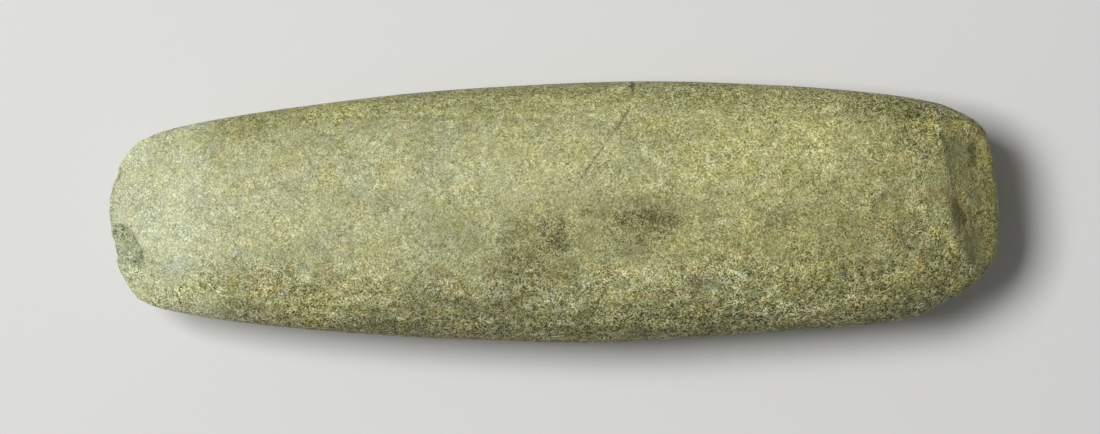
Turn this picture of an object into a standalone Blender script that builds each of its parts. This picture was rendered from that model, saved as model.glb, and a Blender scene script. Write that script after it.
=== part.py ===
"""A ground stone chisel: one piece of stone, lying on its back face.

Metres, +Z up. +X runs from the cutting edge to the butt and +Y is the far side of the stone.
The stone is a loft with a sharp edge at one end and a blunt butt at the other. The flakes that
it has lost, from the cutting edge and from the bevel of the butt, are cut out of that loft.
"""

import math

import bmesh
import bpy
import numpy as np
from mathutils import Matrix, Vector

# Overall size of the stone, between its furthest points.
LENGTH = 0.150
WIDTH = 0.0442
THICKNESS = 0.0300

# Sizes that are set by themselves.
EDGE_THICKNESS = 0.0007  # of the worn cutting edge at its middle
BUTT_FACE_HEIGHT = 0.0085  # of the flat face that closes the butt
BUTT_FACE_RISE = -0.0020  # of that face's middle, from the middle plane
REST_GRIND = 0.0006  # how deep the back is ground away where the stone lies

# How finely the loft is faceted.
STATIONS = 60
AROUND = 52
CROWDING = 2.3  # how strongly the rings crowd towards the two ends

# The outline from above: share of the length from the cutting edge, then the half width there
# as a share of the width.
FAR_SIDE = (
    (0.000, 0.055),
    (0.003, 0.105),
    (0.010, 0.178),
    (0.018, 0.218),
    (0.035, 0.276),
    (0.080, 0.328),
    (0.170, 0.382),
    (0.305, 0.443),
    (0.440, 0.480),
    (0.600, 0.501),
    (0.755, 0.485),
    (0.867, 0.454),
    (0.930, 0.418),
    (0.968, 0.364),
    (0.980, 0.333),
    (0.986, 0.309),
    (0.991, 0.262),
    (0.995, 0.185),
    (1.000, 0.057),
)
NEAR_SIDE = (
    (0.000, 0.045),
    (0.003, 0.118),
    (0.010, 0.212),
    (0.018, 0.263),
    (0.035, 0.338),
    (0.080, 0.383),
    (0.170, 0.427),
    (0.305, 0.466),
    (0.440, 0.487),
    (0.550, 0.496),
    (0.665, 0.476),
    (0.800, 0.443),
    (0.867, 0.421),
    (0.906, 0.404),
    (0.924, 0.370),
    (0.957, 0.313),
    (0.982, 0.246),
    (0.992, 0.200),
    (1.000, 0.141),
)

# The outline from the side: share of the length, then the height above or the depth below the
# middle plane as a share of the thickness. The two ends come from EDGE_ and BUTT_ sizes.
FACE_HEIGHT = (
    (0.020, 0.057),
    (0.050, 0.125),
    (0.100, 0.215),
    (0.150, 0.285),
    (0.200, 0.338),
    (0.300, 0.412),
    (0.400, 0.459),
    (0.500, 0.488),
    (0.600, 0.500),
    (0.700, 0.488),
    (0.800, 0.457),
    (0.870, 0.422),
    (0.920, 0.385),
    (0.946, 0.350),
    (0.960, 0.300),
    (0.975, 0.235),
    (0.990, 0.165),
)
BACK_DEPTH = (
    (0.020, 0.050),
    (0.050, 0.110),
    (0.100, 0.200),
    (0.150, 0.275),
    (0.200, 0.335),
    (0.300, 0.420),
    (0.400, 0.473),
    (0.500, 0.496),
    (0.580, 0.500),
    (0.680, 0.494),
    (0.800, 0.460),
    (0.900, 0.400),
    (0.955, 0.345),
    (0.980, 0.290),
)

# The cross-section: height = top * (1 - |across| ** FULLNESS) ** power. The power falls from
# that of a sharp lens at the cutting edge to that of a rounded side.
FULLNESS = 2.25
EDGE_POWER = 0.95
SIDE_POWER = 0.47
EDGE_ENDS = 0.012  # share of the length where the lens section starts to fill out
SIDES_START = 0.085  # share of the length where the sides are fully round
STEP = 0.002  # share of the length and of the half width over which a slope is taken

# Flakes lost from the stone. along is a share of the length and across runs from -1 on the near
# side to 1 on the far side. hollow is the scar's radius of curvature along and across itself,
# depth how far it bites below the loft, turn the angle of its long way from the length, and lean
# how far it is tipped over towards the near side. Both angles are in degrees.
FLAKES = {
    "edge_flake": dict(along=0.0186, across=-0.46, hollow=(0.0105, 0.0045), depth=0.00105, turn=112),
    "edge_corner_flake": dict(along=0.027, across=-0.8, hollow=(0.007, 0.0020), depth=0.0005, turn=122),
    "edge_far_nick": dict(along=0.0098, across=0.80, hollow=(0.0025, 0.0010), depth=0.00040, turn=75),
    "edge_back_flake": dict(along=0.02, across=0.1, hollow=(0.012, 0.006), depth=0.0006, turn=80, back=True),
    "butt_bevel": dict(along=0.9780, across=0.00, hollow=(0.300, 0.060), depth=0.00095, turn=101, lean=-5),
    "butt_far_flake": dict(along=0.9685, across=0.40, hollow=(0.050, 0.017), depth=0.00170, turn=104),
    "butt_near_flake": dict(along=0.9765, across=-0.31, hollow=(0.064, 0.013), depth=0.00125, turn=113),
    "butt_back_flake": dict(along=0.97, across=0.10, hollow=(0.06, 0.03), depth=0.0012, turn=90, back=True),
}
BOWL_RINGS = 8
BOWL_SECTORS = 40
BOWL_HEIGHT = 2.4  # of a cutter, as a multiple of the depth that it bites
LOBES = 3  # round the rim of a scar
UNEVENNESS = 0.09  # how far the lobes swing in and out, as a share of the rim's reach

STONE = (0.40, 0.39, 0.20)
STONE_ROUGHNESS = 0.8


def clear_scene():
    for obj in list(bpy.data.objects):
        bpy.data.objects.remove(obj, do_unlink=True)


def collection(name, render=True):
    made = bpy.data.collections.new(name)
    bpy.context.scene.collection.children.link(made)
    made.hide_render = not render
    return made


def stone_material():
    material = bpy.data.materials.new("stone")
    material.use_nodes = True
    shader = material.node_tree.nodes["Principled BSDF"]
    shader.inputs["Base Color"].default_value = (*STONE, 1.0)
    shader.inputs["Roughness"].default_value = STONE_ROUGHNESS
    shader.inputs["Metallic"].default_value = 0.0
    return material


def smooth_curve(points, samples=24):
    """A Catmull-Rom curve through the points, as arrays of its first and second values."""
    p = np.array(points, float)
    p = np.vstack([2 * p[0] - p[1], p, 2 * p[-1] - p[-2]])
    t = np.linspace(0, 1, samples, endpoint=False)[:, None]
    spans = [
        0.5
        * (
            2 * b
            + (c - a) * t
            + (2 * a - 5 * b + 4 * c - d) * t**2
            + (3 * b - a - 3 * c + d) * t**3
        )
        for a, b, c, d in zip(p, p[1:], p[2:], p[3:])
    ]
    curve = np.vstack([*spans, p[-2:-1]])
    return np.maximum.accumulate(curve[:, 0]), curve[:, 1]


def full_size(curves, size):
    """The two curves of an outline, scaled so that their furthest points are size apart."""
    reach = sum(values.max() for _, values in curves)
    return [(shares, values * size / reach) for shares, values in curves]


FAR, NEAR = full_size([smooth_curve(FAR_SIDE), smooth_curve(NEAR_SIDE)], WIDTH)
MIDLINE = (FAR[1].max() - NEAR[1].max()) / 2


def side_view(points, edge, butt, reach):
    """One side of the side outline in metres, between the sizes of its two ends."""
    body = [(share, 2 * height * reach) for share, height in points]
    shares, heights = smooth_curve([(0.0, edge), *body, (1.0, butt)])
    return shares, np.minimum(heights, reach)


FACE = side_view(
    FACE_HEIGHT, EDGE_THICKNESS / 2, BUTT_FACE_HEIGHT / 2 + BUTT_FACE_RISE, THICKNESS / 2
)
BACK = side_view(
    BACK_DEPTH, EDGE_THICKNESS / 2, BUTT_FACE_HEIGHT / 2 - BUTT_FACE_RISE, THICKNESS / 2 + REST_GRIND
)


def surface(along, across, back=False):
    """The point of the loft at a share of the length and a place between the sides."""
    far, near = np.interp(along, *FAR), np.interp(along, *NEAR)
    height = np.interp(along, *(BACK if back else FACE))
    filled = np.clip((along - EDGE_ENDS) / (SIDES_START - EDGE_ENDS), 0, 1)
    power = EDGE_POWER + (SIDE_POWER - EDGE_POWER) * filled * filled * (3 - 2 * filled)
    lift = height * (1 - min(1.0, abs(across)) ** FULLNESS) ** power
    return Vector(
        (
            (along - 0.5) * LENGTH,
            (far - near) / 2 + (far + near) / 2 * across - MIDLINE,
            THICKNESS / 2 + (-lift if back else lift),
        )
    )


def facing_out(along, across, back=False):
    """The direction that the loft's surface faces at a place."""
    lengthwise = surface(along + STEP, across, back) - surface(along - STEP, across, back)
    crosswise = surface(along, across + STEP, back) - surface(along, across - STEP, back)
    normal = lengthwise.cross(crosswise).normalized()
    return -normal if back else normal


def skin(rings):
    """A closed mesh over rings of points that follow one another, with a flat face at each end."""
    mesh = bmesh.new()
    rows = [[mesh.verts.new(point) for point in ring] for ring in rings]
    for row, following in zip(rows, rows[1:]):
        for j in range(len(row)):
            nxt = (j + 1) % len(row)
            mesh.faces.new((row[j], following[j], following[nxt], row[nxt]))
    mesh.faces.new(rows[0])
    mesh.faces.new(reversed(rows[-1]))
    bmesh.ops.recalc_face_normals(mesh, faces=mesh.faces)
    return mesh


def add_object(name, mesh, into):
    data = bpy.data.meshes.new(name)
    mesh.to_mesh(data)
    mesh.free()
    made = bpy.data.objects.new(name, data)
    into.objects.link(made)
    return made


def add_cutter(name, mesh, into):
    made = add_object(name, mesh, into)
    made.hide_render = True
    made.display_type = "WIRE"
    return made


def loft_body(into):
    """The stone before it lost any flakes: rings from the cutting edge to the butt."""
    turns = [2 * math.pi * j / AROUND for j in range(AROUND)]
    from_edge = [0.5 * (2 * k / STATIONS) ** CROWDING for k in range(STATIONS // 2 + 1)]
    stations = [*from_edge, *(1 - share for share in reversed(from_edge[:-1]))]
    rings = [
        [surface(along, math.cos(turn), back=math.sin(turn) < 0) for turn in turns]
        for along in stations
    ]
    return add_object("stone_chisel", skin(rings), into)


def bowl(half_long, half_wide, height, phase):
    """An open hollow standing on its lowest point, closed by a flat lid, with an uneven rim."""
    rings = []
    for k in range(1, BOWL_RINGS + 1):
        out = k / BOWL_RINGS
        ring = []
        for j in range(BOWL_SECTORS):
            turn = 2 * math.pi * j / BOWL_SECTORS
            reach = out * (1 + UNEVENNESS * math.sin(LOBES * turn + phase))
            ring.append(
                (half_long * reach * math.cos(turn), half_wide * reach * math.sin(turn), height * out**2)
            )
        rings.append(ring)
    return skin(rings)


def flake_cutter(into, name, along, across, hollow, depth, turn, lean=0, back=False):
    """A bowl, sunk into the loft by the depth of the flake that it takes away."""
    height = BOWL_HEIGHT * depth
    half_long, half_wide = (math.sqrt(2 * radius * height) for radius in hollow)
    phase = 2 * math.radians(turn)
    made = add_cutter(name, bowl(half_long, half_wide, height, phase), into)
    normal = facing_out(along, across, back)
    lengthwise = (Vector((1, 0, 0)) - normal * normal.x).normalized()
    axes = Matrix((lengthwise, normal.cross(lengthwise), normal)).transposed().to_4x4()
    bottom = surface(along, across, back) - normal * depth
    tip = Matrix.Rotation(math.radians(lean), 4, "X") @ Matrix.Rotation(math.radians(turn), 4, "Z")
    made.matrix_world = Matrix.Translation(bottom) @ axes @ tip
    return made


def rest_cutter(into):
    """The block under the stone, whose top face grinds the flat that it lies on."""
    mesh = bmesh.new()
    bmesh.ops.create_cube(mesh, size=1)
    bmesh.ops.scale(mesh, vec=(1.2 * LENGTH, 1.2 * WIDTH, THICKNESS), verts=mesh.verts)
    bmesh.ops.translate(mesh, vec=(0, 0, -THICKNESS / 2), verts=mesh.verts)
    return add_cutter("rest_flat", mesh, into)


def cut(body, tool):
    modifier = body.modifiers.new(tool.name, "BOOLEAN")
    modifier.operation = "DIFFERENCE"
    modifier.solver = "EXACT"
    modifier.object = tool


def main():
    clear_scene()
    parts = collection("stone_chisel")
    cutters = collection("cutters", render=False)
    body = loft_body(parts)
    body.data.materials.append(stone_material())
    body.data.shade_smooth()
    cut(body, rest_cutter(cutters))
    for name, flake in FLAKES.items():
        cut(body, flake_cutter(cutters, name, **flake))


main()
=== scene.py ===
"""The looks of a ground stone chisel that lies on its back face on a pale floor.

The stone is one piece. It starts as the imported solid, which is meshed finely, smoothed between its
facets and given the small forms of a worn stone tool: the planes it was ground to, pecked dimples,
a crack, pits, and nicks along the cutting edge. Its material is a speckled greenish stone with
stains, a polish towards the cutting edge, and fresher stone where flakes have come off.
Lengths are in metres, unless a name or a comment says millimetres.
"""

import math

import bmesh
import bpy
import numpy as np
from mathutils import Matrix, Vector
from mathutils.bvhtree import BVHTree
from mathutils.kdtree import KDTree


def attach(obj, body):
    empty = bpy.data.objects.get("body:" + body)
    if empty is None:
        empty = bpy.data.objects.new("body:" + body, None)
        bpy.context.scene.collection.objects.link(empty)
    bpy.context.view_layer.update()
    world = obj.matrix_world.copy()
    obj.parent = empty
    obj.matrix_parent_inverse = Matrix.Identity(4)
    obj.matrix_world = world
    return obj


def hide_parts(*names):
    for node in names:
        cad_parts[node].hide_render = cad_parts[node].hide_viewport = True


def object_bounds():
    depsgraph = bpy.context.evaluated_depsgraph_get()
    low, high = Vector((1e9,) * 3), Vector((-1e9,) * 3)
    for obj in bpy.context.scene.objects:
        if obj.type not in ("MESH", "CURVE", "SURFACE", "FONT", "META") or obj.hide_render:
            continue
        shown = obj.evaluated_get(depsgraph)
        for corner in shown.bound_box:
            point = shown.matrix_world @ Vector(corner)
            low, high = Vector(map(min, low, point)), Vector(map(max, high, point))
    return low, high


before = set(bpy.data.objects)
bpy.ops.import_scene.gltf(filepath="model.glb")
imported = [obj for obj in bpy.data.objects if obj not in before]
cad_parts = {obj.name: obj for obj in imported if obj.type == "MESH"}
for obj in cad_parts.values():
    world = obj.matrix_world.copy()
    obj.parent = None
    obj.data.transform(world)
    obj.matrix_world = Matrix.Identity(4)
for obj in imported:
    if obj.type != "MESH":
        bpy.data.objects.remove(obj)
CAD_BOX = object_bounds()
NODE = "stone_chisel"
MM = 0.001

# The photograph's frame. It is FRAME_WIDTH wide at the height of the stone's outline, and its
# middle is over FRAME_MIDDLE.
PHOTO = (1100, 434)
FRAME_WIDTH = 0.1856
FRAME_MIDDLE = (-0.00059, -0.00084)
OUTLINE_HEIGHT = 0.015
CAMERA_DISTANCE = 1.0
SENSOR = 0.036

# The mesh of the stone.
FINE = 0.30 * MM  # distance between its points
FINER_CUTS = 2  # of each side of a face, along the crack
MOST_TRIANGLES = 188_000
SMOOTHING_ROUNDS = 80
ARRIS_ANGLE = math.radians(26)  # a sharper edge of the solid is an arris, and stays
ARRIS_KEPT = 0.35 * MM
ARRIS_REACH = 1.8 * MM
WORN_ROUNDS = 5
WORN_BUTT = 0.20  # how freely even the arrises of the butt are smoothed
SEED = 11

# The pecked stone. A slope is how far the surface faces the near side.
PECKED_SLOPES = (0.02, 0.50)
PECKED_FROM = -0.038  # where the near side is pecked in full
BUTT_PECKED_FROM = 0.045
BUTT_PECKED = 0.75

# Dimples of pecking and nicks of the cutting edge. Radii are in millimetres, depths in radii.
DIMPLES = 3400
LEAST_CHANCE = 0.14  # of a dimple where the stone isn't pecked
DIMPLE_RADII = (0.45, 1.15)
DIMPLE_DEPTHS = (0.05, 0.15)
FULL_HOLLOW = 0.10 * MM  # depth at which a dent is darkened in full
EDGE_NICKS = 26
EDGE_BAND = -0.0742  # the cutting edge lies below this
NICK_RADII = (0.25, 0.75)
NICK_DEPTHS = (0.12, 0.30)

# Depths of the unevenness: over the whole stone, where it is pecked, and at the butt.
BROAD_DEPTH = 0.09 * MM
FINE_DEPTH = 0.018 * MM
PECKED_FINE_DEPTH = 0.050 * MM
PECKED_WIDE_DEPTH = 0.070 * MM
BUTT_DEPTH = 0.075 * MM

# Where the stone changes, along its length.
BIT_END = -0.0700
POLISH_END = -0.0480
BUTT_WORN_FROM = 0.0520
BUTT_START = 0.0590
BUTT_FULL = 0.0660

# The planes that the face was ground to meet along these lines. Each is a row of pixels.
GROUND_LINES = (
    ((300, 112), (357, 113), (412, 113), (467, 116), (540, 117), (575, 121)),
)
GROUND_TURN = 0.11  # slope by which the stone falls away beyond a line
GROUND_REACH = 3.6 * MM
GROUND_FADE = 0.006  # half the length in which a line begins or ends

# The crack that runs in from the far side, in two parts. Each is a row of places: pixel, half width
# in millimetres, and how open it is.
CRACKS = (
    ((633, 82, 0.26, 1.0), (632, 87, 0.28, 1.0), (634, 93, 0.22, 0.5), (632, 103, 0.18, 0.2)),
    ((631, 105, 0.20, 0.5), (629, 110, 0.26, 0.90), (622, 121, 0.30, 0.95), (617, 128, 0.28, 0.85),
     (612, 135, 0.27, 0.75), (606, 143, 0.25, 0.50), (602, 149, 0.28, 0.80), (598, 155, 0.30, 0.85),
     (594, 161, 0.26, 0.50), (590, 167, 0.30, 0.75), (585, 174, 0.34, 0.70), (581, 181, 0.32, 0.40),
     (577, 188, 0.25, 0.00)),
)
CRACK_DEPTH = 0.20 * MM

# Pits, and nicks in the outline: pixel, radius and depth in millimetres.
PITS = (
    (776, 122, 0.42, 0.30),
    (859, 122, 0.28, 0.14),
    (865, 122, 0.24, 0.12),
    (870, 121, 0.24, 0.12),
    (909, 116, 0.28, 0.12),
    (917, 116, 0.28, 0.12),
    (914, 273, 0.36, 0.12),
    (883, 196, 0.80, 0.16),
    (715, 162, 0.30, 0.14),
    (723, 161, 0.30, 0.12),
    (622, 223, 0.30, 0.12),
    (655, 219, 0.50, 0.12),
    (670, 226, 0.42, 0.12),
    (641, 238, 0.36, 0.10),
    (151, 169, 0.30, 0.10),
    (943, 138, 0.95, 0.18),
    (972, 150, 1.30, 0.26),
    (973, 162, 1.20, 0.20),
    (983, 228, 1.10, 0.16),
)
NOTCHES = (
    (111, 209, 0.55, 0.34),
    (114, 242, 0.55, 0.22),
    (112, 189, 0.60, 0.15),
    (119, 168, 0.60, 0.16),
    (633, 85, 0.60, 0.30),
    (500, 330, 0.75, 0.24),
    (496, 334, 0.70, 0.24),
    (690, 336, 0.90, 0.16),
    (925, 311, 0.80, 0.12),
    (122, 277, 0.90, 0.18),
)

# Shallow scars: their outline in pixels, and their depth and the width of their slope in millimetres.
SCARS = (
    (((112, 224), (121, 223), (128, 227), (136, 237), (143, 251), (145, 263), (141, 269), (128, 266),
      (118, 262), (113, 245)), 0.10, 0.5),
    (((684, 279), (697, 274), (712, 273), (722, 281), (717, 292), (692, 299), (664, 303), (655, 297),
      (668, 289)), 0.22, 0.8),
    (((940, 128), (947, 125), (963, 133), (976, 142), (981, 160), (980, 180), (975, 192), (962, 189),
      (952, 183), (946, 160), (943, 142)), 0.16, 1.2),
    (((951, 196), (957, 192), (962, 200), (966, 210), (970, 219), (969, 228), (962, 230), (955, 224),
      (950, 212)), 0.26, 0.7),
    (((963, 228), (970, 226), (980, 232), (985, 245), (984, 258), (979, 267), (973, 268), (966, 256),
      (964, 242)), 0.16, 0.9),
    (((632, 262), (660, 258), (672, 266), (640, 276), (612, 284), (606, 276)), -0.10, 2.0),
)

# Where the butt is broken, as the photograph shows it, and beyond the stone's outline.
BROKEN_END = (
    (941, 131), (955, 132), (965, 135), (974, 131), (986, 134), (1006, 160), (1014, 220), (1006, 262),
    (984, 282), (973, 268), (966, 257), (964, 245), (962, 231), (955, 226), (950, 216), (949, 207),
    (952, 198), (955, 189), (953, 177), (950, 165), (945, 152), (942, 141),
)
EDGE_SPAN = 6.0  # pixels on either side of a zone's outline in which its mask changes
MARK_EDGE = (1.30, 0.35)  # where a mark begins and is full, as shares of its half length and width

# Marks on the face, by what they are: pixel (two numbers), half length and half width in pixels,
# the turn of the long way from the stone's length in degrees, and strength. All change the stone's
# colour but "smooth" and "coarse", which change how strong its pattern is. The stains, specks and
# scars are where the photograph shows them. Many of the others were set where renders were lighter,
# darker, bluer or yellower than it.
MARKS = {
    # Darker marks: the stone's own duller tone, and painted shade where noted.
    "dull": (
        (606, 228, 112, 40, 0, 0.85),
        (528, 240, 40, 30, 0, 0.95),
        (560, 262, 30, 14, 0, 0.90),
        (810, 250, 48, 18, 0, 0.90),
        (893, 203, 28, 12, 0, 0.75),
        (240, 128, 52, 16, 14, 0.60),
        (236, 276, 22, 26, 0, 0.70),
        (684, 120, 26, 12, 0, 0.50),
        (762, 150, 16, 20, 0, 0.45),
        (238, 306, 22, 12, 10, 0.80),
        (930, 192, 20, 26, 0, 0.50),
        # Painted shade just below the ridge where the ground planes meet, in these three marks.
        (360, 118, 50, 2.6, 0, 0.30),
        (440, 118, 60, 2.8, -1, 0.50),
        (522, 120, 44, 2.8, -2, 0.70),
        # Painted shade along the near rim.
        (600, 331, 80, 6, -1, 1.00),
        (702, 331, 40, 6, -2, 0.90),
        (356, 326, 34, 6, 4, 0.70),
        (802, 326, 46, 6, 4, 0.80),
        (508, 266, 36, 16, 0, 0.85),
        (602, 261, 18, 8, 0, 0.80),
        (772, 222, 30, 15, 0, 0.85),
        (880, 318, 30, 8, 10, 0.90),
        (640, 132, 54, 16, 0, 0.35),
        (806, 188, 34, 20, 0, 0.40),
        (119, 200, 8, 14, 0, 0.30),
        (840, 142, 16, 12, 0, 0.50),
        (896, 302, 30, 9, 15, 1.00),
        # Painted shade along the near rim.
        (582, 330, 42, 8, 0, 0.70),
        (398, 330, 28, 6, 0, 0.60),
        (123, 258, 8, 12, 0, 0.50),
        (885, 112, 44, 16, -8, 0.75),
        (925, 122, 18, 12, -25, 0.60),
        (948, 150, 7, 16, -8, 0.50),
        (974, 250, 10, 20, 10, 0.45),
        (976, 168, 10, 30, -5, 0.65),
        (976, 213, 12, 17, 0, 0.80),
        (450, 232, 44, 24, 0, 0.45),
        (835, 224, 112, 28, 0, 0.70),
        (880, 285, 70, 30, 15, 0.45),
        (535, 285, 40, 30, 0, 0.60),
        (920, 114, 40, 12, -20, 0.65),
        (890, 150, 26, 60, 0, 0.35),
        (848, 258, 28, 14, 0, 0.50),
        (645, 200, 24, 12, -20, 0.60),
        (607, 208, 10, 8, 0, 0.60),
        (234, 288, 12, 16, 20, 0.60),
        (865, 252, 9, 7, 0, 0.70),
        (764, 240, 26, 15, 0, 0.75),
        (925, 254, 14, 16, 0, 0.90),
        (882, 307, 26, 9, 10, 0.95),
        (910, 116, 32, 14, -16, 0.85),
        (760, 120, 24, 10, 0, 0.40),
        (200, 142, 22, 10, 12, 0.55),
        (320, 180, 24, 14, 0, 0.30),
        # Painted shade along the near rim.
        (400, 328, 24, 6, 0, 0.80),
        (560, 328, 24, 7, 0, 0.90),
        (270, 148, 56, 12, 9, 0.30),
        (880, 206, 16, 14, 0, 0.90),
        (862, 263, 26, 8, 0, 1.00),
        (858, 251, 20, 8, 0, 0.90),
        (652, 246, 20, 16, 0, 0.65),
        (836, 266, 40, 8, 0, 0.55),
        (988, 206, 9, 50, 0, 0.60),
    ),
    # Lighter marks: the stone's own paler tone, and painted light where noted.
    "bright": (
        (780, 136, 100, 40, 2, 0.50),
        (640, 274, 50, 22, -12, 0.65),
        (736, 288, 44, 20, 0, 0.70),
        (680, 272, 16, 8, 20, 0.75),
        (668, 284, 14, 10, 0, 0.60),
        (842, 291, 30, 12, 0, 0.50),
        (722, 313, 34, 9, 0, 0.90),
        (622, 286, 40, 14, 0, 0.85),
        (834, 308, 30, 9, 6, 0.60),
        (400, 108, 40, 7, 4, 0.40),
        (580, 102, 44, 7, 0, 0.30),
        (240, 116, 26, 8, 12, 0.50),
        (560, 305, 30, 10, 0, 0.45),
        (925, 284, 22, 12, 20, 0.60),
        (650, 322, 20, 6, 0, 0.50),
        (118, 222, 8, 4, 0, 0.40),
        # Painted highlight on the ridge where the ground planes meet, in these three marks.
        (350, 112, 50, 2.8, 0, 0.50),
        (440, 113, 60, 2.8, -2, 0.50),
        (522, 115, 44, 3.0, -2, 0.95),
        (574, 221, 15, 12, 0, 0.95),
        (598, 238, 12, 9, 0, 0.45),
        (460, 178, 90, 24, 0, 0.30),
        (545, 190, 50, 14, 0, 0.35),
        (320, 300, 60, 20, -5, 0.75),
        # Painted sheen in a band near the bit.
        (176, 216, 14, 40, -6, 0.35),
        (612, 272, 12, 8, 20, 0.60),
        # Painted light on a facet of the butt that turns from the light.
        (962, 125, 16, 8, -30, 1.00),
        (958, 258, 9, 22, 15, 1.00),
        (888, 281, 32, 9, 8, 1.00),
        (150, 240, 60, 20, 10, 0.25),
        (322, 292, 34, 26, 0, 0.90),
        (602, 296, 22, 16, 0, 0.85),
        (744, 306, 54, 12, 0, 0.90),
        (204, 238, 26, 16, 0, 0.60),
        (284, 220, 60, 26, 0, 0.50),
        (368, 222, 26, 18, 0, 0.55),
        (374, 272, 48, 16, 0, 0.85),
        (600, 213, 14, 22, 0, 0.60),
        (722, 120, 20, 13, 0, 0.80),
        (902, 163, 34, 10, 0, 0.55),
        (352, 109, 46, 11, 5, 1.00),
        # Painted highlight along the butt's ridge.
        (968, 201, 17, 3.2, -49, 1.00),
        (952, 186, 7, 26, -6, 0.45),
        (966, 275, 11, 8, 40, 1.00),
        (961, 268, 9, 10, 20, 0.90),
        (938, 231, 8, 9, 0, 0.80),
        (930, 268, 16, 12, 0, 0.30),
        # Painted highlight on the top rim of the shallow scar at pixels 655 to 722.
        (697, 271, 10, 6, 0, 0.95),
        (654, 302, 16, 11, 0, 0.75),
    ),
    "brown": (
        (652, 217, 19, 12, 5, 0.70),
        (673, 221, 9, 10, 0, 0.65),
        (646, 219, 44, 22, 0, 0.42),
        (641, 240, 7, 7, 0, 0.75),
        (638, 250, 20, 12, 0, 0.28),
        (624, 223, 8, 6, 0, 0.60),
        (603, 213, 10, 10, 0, 0.42),
        (548, 226, 9, 8, 0, 0.60),
        (560, 240, 10, 16, 15, 0.85),
        (552, 238, 22, 26, 0, 0.48),
        (522, 226, 26, 18, 0, 0.26),
        (526, 258, 28, 14, 0, 0.46),
        (532, 270, 26, 20, 20, 0.42),
        (477, 307, 16, 7, 0, 0.50),
        (440, 300, 11, 4, 0, 0.50),
        (232, 300, 6, 4, 0, 0.60),
        (388, 284, 5, 9, 10, 0.40),
        (959, 211, 15, 6.0, -68, 0.75),
        (976, 219, 6, 4, 0, 0.35),
        (121, 228, 9, 4, 10, 0.50),
        (131, 277, 4, 4, 0, 0.45),
    ),
    "slate": (
        (701, 285, 19, 8, 8, 0.25),
        (664, 299, 12, 4, 20, 0.45),
        (656, 316, 10, 6, 0, 0.45),
        (622, 223, 4, 3, 0, 0.50),
        (883, 196, 3, 8, -40, 0.60),
        (860, 262, 30, 9, 0, 0.32),
        (978, 248, 8, 16, 0, 0.22),
        (463, 128, 11, 6, 20, 0.35),
        (452, 178, 13, 8, 60, 0.30),
        (770, 139, 5, 4, 0, 0.50),
        (119, 176, 6, 2, 70, 0.90),
        (973, 155, 3, 13, 6, 0.70),
        (944, 140, 3, 10, 12, 0.65),
        (964, 221, 2.5, 7, 0, 0.70),
        (972, 259, 10, 3.5, -66, 0.65),
        (884, 271, 9, 4, 0, 0.40),
        (500, 329, 3, 8, -42, 0.80),
        (140, 254, 4, 13, -18, 0.45),
        (136, 262, 6, 3, -30, 0.35),
        (565, 247, 5, 7, 0, 0.45),
    ),
    "blue": (
        (356, 177, 22, 22, 0, 0.60),
        (191, 178, 12, 6, 0, 0.70),
        (208, 143, 10, 5, 0, 0.60),
        (175, 265, 14, 10, 0, 0.60),
        (241, 168, 9, 6, 0, 0.50),
        (148, 213, 11, 6, 0, 0.50),
        (145, 224, 5, 4, 0, 0.80),
        (958, 150, 9, 18, 0, 0.50),
        (972, 200, 8, 13, -15, 0.70),
        (975, 244, 9, 16, 0, 0.90),
        (450, 140, 16, 20, 0, 0.50),
        (638, 149, 12, 15, 0, 0.50),
        (688, 138, 9, 6, 0, 0.50),
        (345, 232, 16, 13, 0, 0.50),
        (304, 268, 8, 7, 0, 0.80),
        (238, 254, 8, 7, 0, 0.80),
        (318, 250, 8, 8, 0, 0.50),
        (450, 283, 10, 13, 0, 0.50),
        (901, 240, 9, 4, 25, 0.80),
        (853, 286, 9, 4, 45, 0.70),
        (829, 232, 8, 3, 25, 0.70),
        (597, 172, 4, 10, 0, 0.70),
        # Painted sheen near the butt.
        (926, 186, 16, 14, 0, 0.60),
        (703, 284, 20, 8, 5, 0.95),
    ),
    "cream": (
        (392, 173, 22, 22, 0, 0.45),
        (660, 122, 13, 8, 0, 0.50),
        (746, 169, 7, 7, 0, 0.50),
        (375, 250, 14, 26, 0, 0.40),
        (818, 130, 20, 16, 0, 0.50),
        (800, 127, 14, 8, 0, 0.50),
        (937, 229, 6, 8, 10, 0.80),
        # Painted highlight along the butt's ridge.
        (968, 201, 17, 2.6, -49, 1.00),
        (345, 292, 46, 24, 0, 0.60),
        (322, 308, 24, 20, 0, 0.95),
        (960, 258, 6, 14, 20, 0.75),
        (282, 306, 24, 9, 6, 0.45),
        (622, 300, 34, 12, 0, 0.45),
        (984, 169, 3, 4, 0, 0.60),
        (138, 272, 5, 3, 0, 0.40),
        (146, 142, 8, 5, 30, 0.50),
    ),
    "orange": (
        (237, 138, 3, 4, 0, 1.00),
        (262, 276, 17, 9, 30, 0.65),
        (272, 291, 10, 5, 20, 0.55),
        (290, 267, 7, 5, 0, 0.60),
        (233, 283, 8, 6, 0, 0.55),
        (145, 293, 12, 8, 40, 0.40),
        (504, 121, 7, 4, 0, 0.35),
        (551, 134, 9, 3, 15, 0.40),
        (532, 150, 6, 5, 0, 0.35),
        (235, 187, 6, 6, 0, 0.30),
        (878, 313, 5, 2, 0, 0.90),
        (978, 132, 8, 6, -40, 0.75),
        (987, 152, 5, 16, -12, 0.70),
        (994, 192, 3, 18, -8, 0.40),
        (992, 250, 3, 16, 12, 0.60),
        (983, 276, 4, 8, 40, 0.50),
        (940, 161, 5, 4, 0, 0.45),
        (930, 138, 5, 6, 0, 0.45),
    ),
    "olive": (
        (962, 123, 18, 10, -30, 0.90),
        (962, 284, 20, 14, 30, 0.90),
        (912, 116, 44, 14, -16, 0.65),
        (820, 98, 100, 10, -3, 0.35),
        (240, 126, 64, 14, 13, 0.55),
        (330, 112, 90, 12, 8, 0.50),
        (490, 104, 110, 14, 2, 0.40),
        (800, 282, 66, 18, 0, 0.50),
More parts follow.
